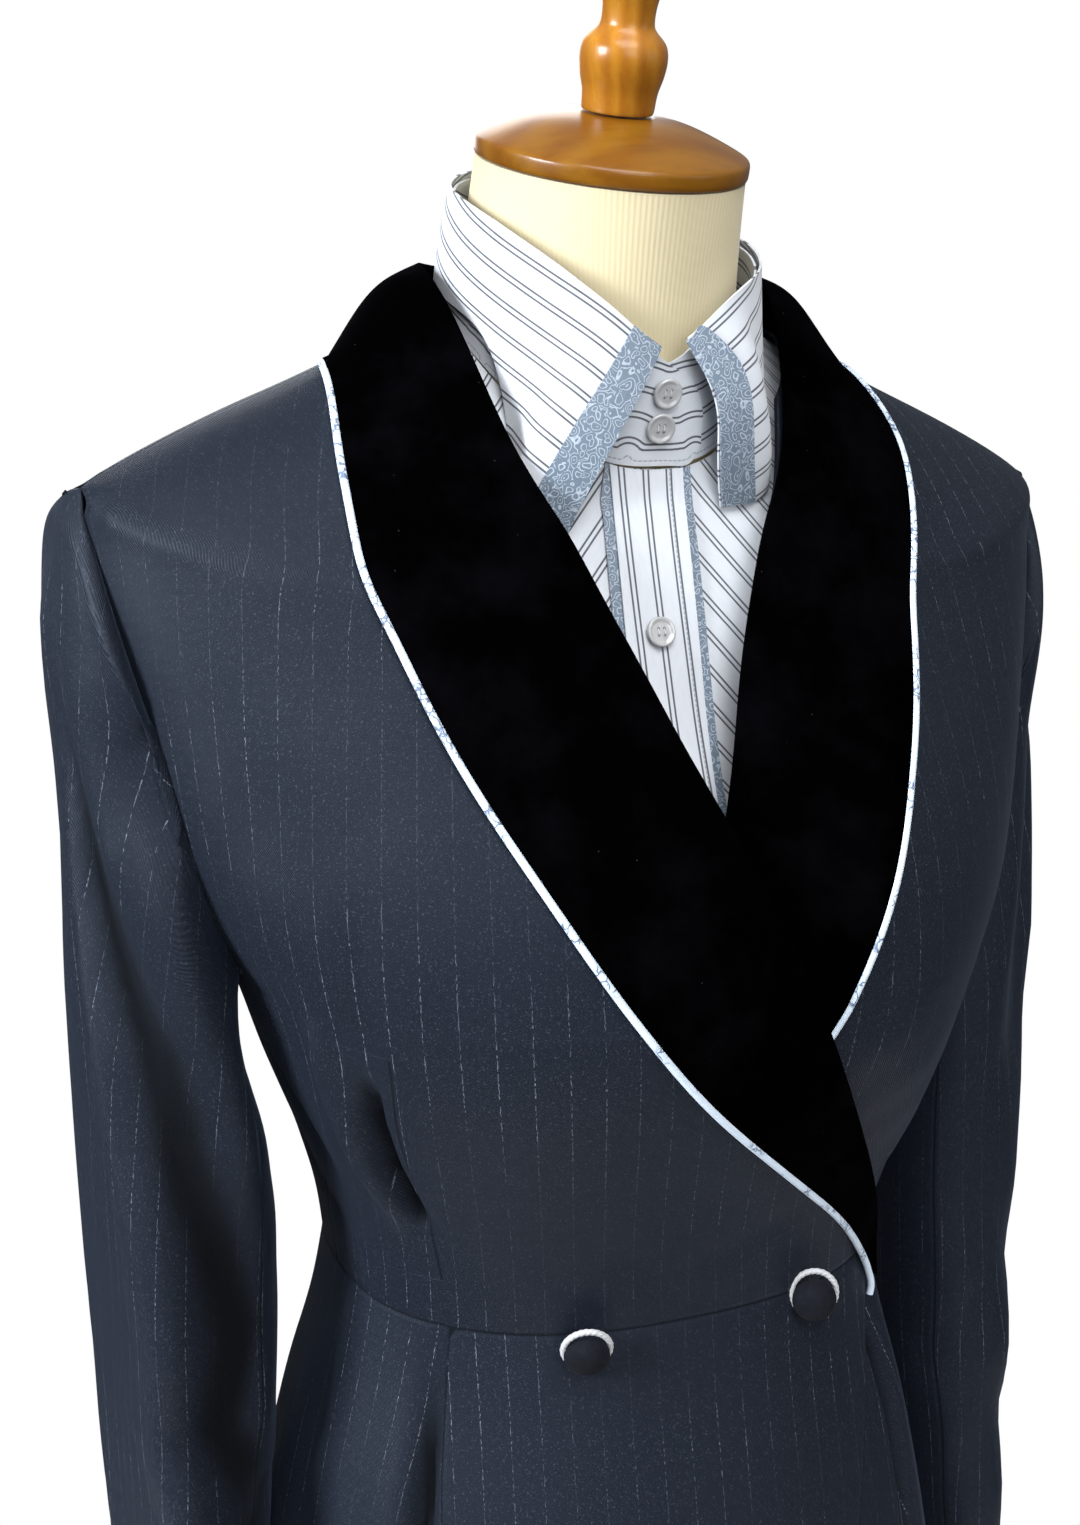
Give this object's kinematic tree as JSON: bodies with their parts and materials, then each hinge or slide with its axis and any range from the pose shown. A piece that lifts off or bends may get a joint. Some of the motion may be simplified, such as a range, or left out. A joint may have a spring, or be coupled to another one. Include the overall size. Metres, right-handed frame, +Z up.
{
  "type": "showmanship suit on a dress form",
  "caption": "Fitted show suit jacket with a velvet shawl lapel wrapped to the waist, over its matching striped shirt, on a limbless dress form and floor stand.",
  "frame": {"origin": "centre of the underside of the stand's round base, on the floor", "axes": "+Z up along the pole, -Y is the front of the suit, +X is the wearer's left"},
  "size_m": [0.436, 0.38, 1.3972],
  "materials": {
    "suiting_charcoal": "fine twill with sparse silver pinstripes",
    "velvet_black": "black velvet nap",
    "satin_pale_blue": "pale blue satin",
    "jacquard_blue_grey": "blue-grey jacquard",
    "shirting_striped": "white poplin with dark double stripes",
    "button_clear": "clear polished",
    "jersey_cream": "fine ribbed jersey",
    "wood_varnished": "honey varnish"
  },
  "bodies": {
    "root": {"bodice_back_left": "suiting_charcoal", "bodice_back_right": "suiting_charcoal", "bodice_front_left": "suiting_charcoal", "bodice_front_right": "suiting_charcoal", "collar_button_lower": "button_clear", "collar_button_upper": "button_clear", "collar_leaf_left": "shirting_striped", "collar_leaf_right": "shirting_striped", "collar_stand": "shirting_striped", "collar_trim_left": "jacquard_blue_grey", "collar_trim_right": "jacquard_blue_grey", "finial": "wood_varnished", "form_torso": "jersey_cream", "lapel_left": "velvet_black", "lapel_right": "velvet_black", "neck_cap": "wood_varnished", "piping_left": "satin_pale_blue", "piping_right": "satin_pale_blue", "placket": "shirting_striped", "placket_button": "button_clear", "placket_trim_left": "jacquard_blue_grey", "placket_trim_right": "jacquard_blue_grey", "pole": "wood_varnished", "pole_socket": "wood_varnished", "shirt_back": "shirting_striped", "shirt_front_left": "shirting_striped", "shirt_front_right": "shirting_striped", "skirt_back_left": "suiting_charcoal", "skirt_back_right": "suiting_charcoal", "skirt_front_left": "suiting_charcoal", "skirt_front_right": "suiting_charcoal", "skirt_side_left": "suiting_charcoal", "skirt_side_right": "suiting_charcoal", "sleeve_top_left": "suiting_charcoal", "sleeve_top_right": "suiting_charcoal", "sleeve_under_left": "suiting_charcoal", "sleeve_under_right": "suiting_charcoal", "stand_base": "wood_varnished", "waist_button_cord_left": "satin_pale_blue", "waist_button_cord_right": "satin_pale_blue", "waist_button_left": "velvet_black", "waist_button_right": "velvet_black"}
  },
  "joints": []
}
